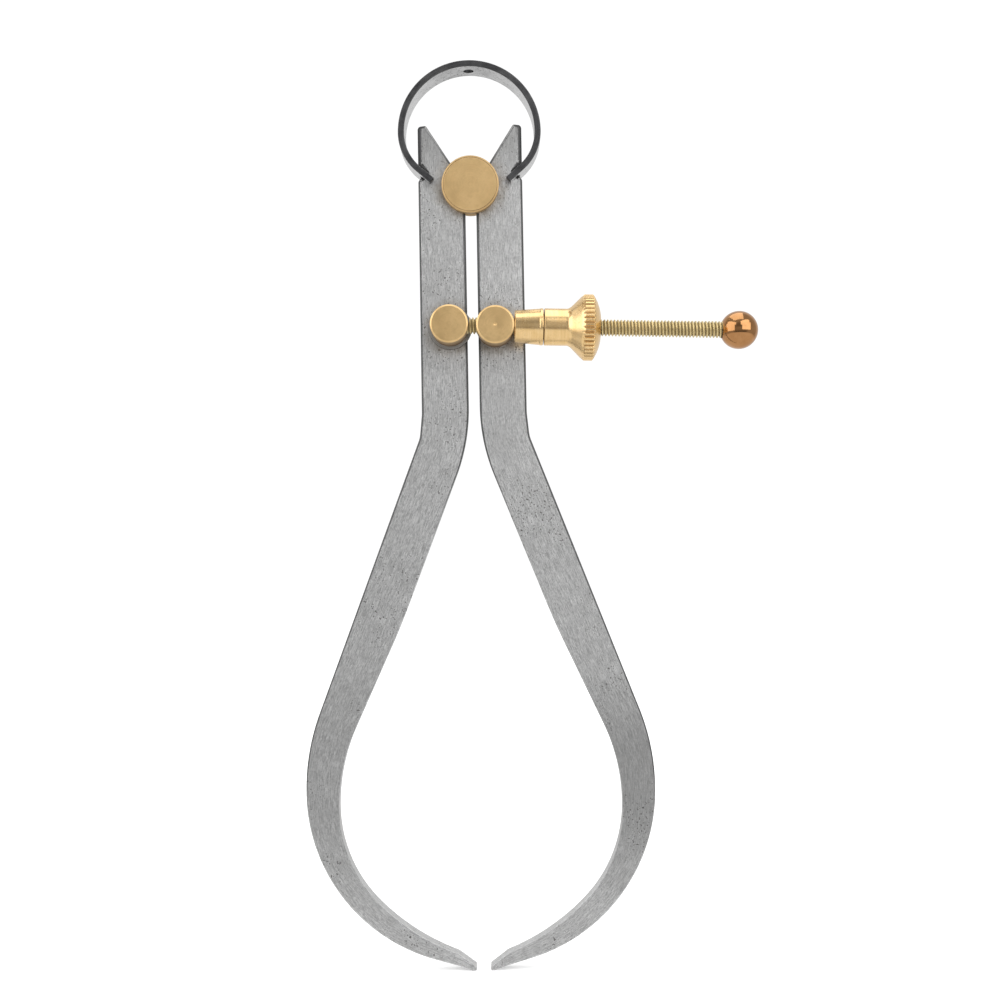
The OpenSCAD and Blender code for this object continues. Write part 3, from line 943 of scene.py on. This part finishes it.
LIP_END = FERRULE_END + 0.08
lathe("thrust_ferrule_turned", [
    (BORE_R, NOSE_X - 0.02, 0.02), (2.5, NOSE_X - 0.02, 0.02), (2.5, LIP_END, 0.05),
    (BARREL_R - 0.02, LIP_END, 0.16), (BARREL_R, FERRULE_END - 0.45, 0.15),
    (BARREL_R - 0.08, FERRULE_END - 0.68, 0.15), (3.05, FERRULE_X + 0.2, 0.1), (2.85, FERRULE_X, 0.05),
    (BORE_R, FERRULE_X, 0.02), (BORE_R, NOSE_X - 0.02, 0.02)],
    SCREW_FROM_GUIDE, "guide", POLISHED, ["thrust_ferrule"], 112)
# The nut's nose and its face towards the ferrule are painted dark: painted shade in the gap between ferrule
# and nut
lathe("adjusting_nut_turned", [
    (BORE_R, NUT_END, 0.05), (2.8, NUT_END, 0.3), (3.7, KNURL_END + 0.9, 1.0), (4.8, KNURL_END + 0.5, 1.0),
    (5.75, KNURL_END, 0.3), (KNURL_R, KNURL_END - 0.35, 0.08), (KNURL_R, KNURL_X + 0.35, 0.08),
    (KNURL_R - 0.3, KNURL_X, 0.2), (KNURL_R - 0.5, KNURL_X - 0.3, 0.3), (BARREL_R + 0.3, KNURL_X - 2.2, 1.2),
    (BARREL_R, KNURL_X - 2.75, 0.8), (BARREL_R, NUT_X, 0.12), (NOSE_R, NUT_X, 0.05), (NOSE_R, NOSE_X, 0.08),
    (BORE_R, NOSE_X, 0.02), (BORE_R, NUT_END, 0.05)],
    SCREW_FROM_GUIDE, "nut", POLISHED, ["adjusting_nut"], KNURL_N * 8, groove=knurl,
    longest=0.3, dark=lambda r, h, n: 0.9 if r < 2.5 or h < NUT_X + 0.01 else 0.0)

# ---------------------------------------------------------------- studio


def studio_world():
    """White tent. In mirrored light it is darker, most in front of the tool, and has a bright table below."""
    white, table_level = 1.05, 0.95
    world = bpy.data.worlds.new("studio")
    bpy.context.scene.world = world
    world.use_nodes = True
    tree = world.node_tree
    tree.nodes.clear()
    way = add(tree, "ShaderNodeTexCoord").outputs["Generated"]
    towards = add(tree, "ShaderNodeVectorMath", {0: way, 1: (0, -1, 0)}, operation="DOT_PRODUCT")
    front = towards.outputs["Value"]
    height = add(tree, "ShaderNodeSeparateXYZ", {"Vector": way}).outputs["Z"]
    around = ranged(tree, front, -0.6, -0.25, 0.82, 0.52)
    ahead = times(tree, ranged(tree, height, -0.32, -0.02, 0.14, 0.43),
                  ranged(tree, height, 0.16, 0.34, 1.0, 0.6))
    level = between(tree, ranged(tree, front, 0.62, 0.86), around, ahead)
    level = between(tree, ranged(tree, height, -0.38, -0.28, 1.0, 0.0), level, table_level)
    mirrored = add(tree, "ShaderNodeLightPath").outputs["Is Glossy Ray"]
    level = between(tree, mirrored, white, level)
    back = add(tree, "ShaderNodeBackground", {"Color": (1, 1, 1, 1), "Strength": level})
    add(tree, "ShaderNodeOutputWorld", {"Surface": back.outputs["Background"]})


def softbox(name, place, wide, high, power):
    light = bpy.data.lights.new(name, "AREA")
    light.shape, light.size, light.size_y, light.energy = "RECTANGLE", wide, high, power
    obj = bpy.data.objects.new(name, light)
    obj.location = place
    aim = Vector((0, 0, -0.04))
    obj.rotation_euler = (aim - Vector(place)).to_track_quat("-Z", "Y").to_euler()
    bpy.context.scene.collection.objects.link(obj)


def floor():
    material, tree = blank("studio_floor")
    faint = ranged(tree, noise(tree, metres(tree), 60, detail=3.0, rough=0.5), 0.3, 0.7, 0.93, 0.96)
    colour = add(tree, "ShaderNodeCombineColor", {0: faint, 1: faint, 2: faint}).outputs["Color"]
    shader = add(tree, "ShaderNodeBsdfPrincipled", {
        "Base Color": colour, "Roughness": 0.8, "Emission Color": (1, 1, 1, 1), "Emission Strength": 0.08})
    add(tree, "ShaderNodeOutputMaterial", {"Surface": shader.outputs["BSDF"]})
    bm = bmesh.new()
    bmesh.ops.create_circle(bm, cap_ends=True, segments=96, radius=3.0)
    mesh = bpy.data.meshes.new("floor")
    bm.to_mesh(mesh)
    bm.free()
    mesh.materials.append(material)
    obj = bpy.data.objects.new("floor", mesh)
    obj.location = (0, 0, CAD_BOX[0][2] - 0.1 * MM)
    obj.visible_glossy = False
    bpy.context.scene.collection.objects.link(obj)


studio_world()
floor()
softbox("softbox_left", (-0.66, -0.36, 0.23), 0.9, 0.8, 3.5)
softbox("softbox_right", (0.47, -0.55, 0.29), 0.8, 0.8, 3.6)
softbox("softbox_top", (-0.05, 0.0, 0.78), 0.9, 0.75, 3.0)

camera = bpy.data.objects.new("camera", bpy.data.cameras.new("camera"))
camera.data.angle = math.radians(40.4)
camera.location = (4.72 * MM, -(LEG_FRONT + 260) * MM, -60.24 * MM)
camera.rotation_euler = (math.radians(90), math.radians(1.0), 0)
camera.data.clip_start, camera.data.clip_end = 0.01, 20
bpy.context.scene.collection.objects.link(camera)
bpy.context.scene.camera = camera
bpy.context.scene.view_settings.view_transform = "Standard"
bpy.context.scene.view_settings.look = "None"
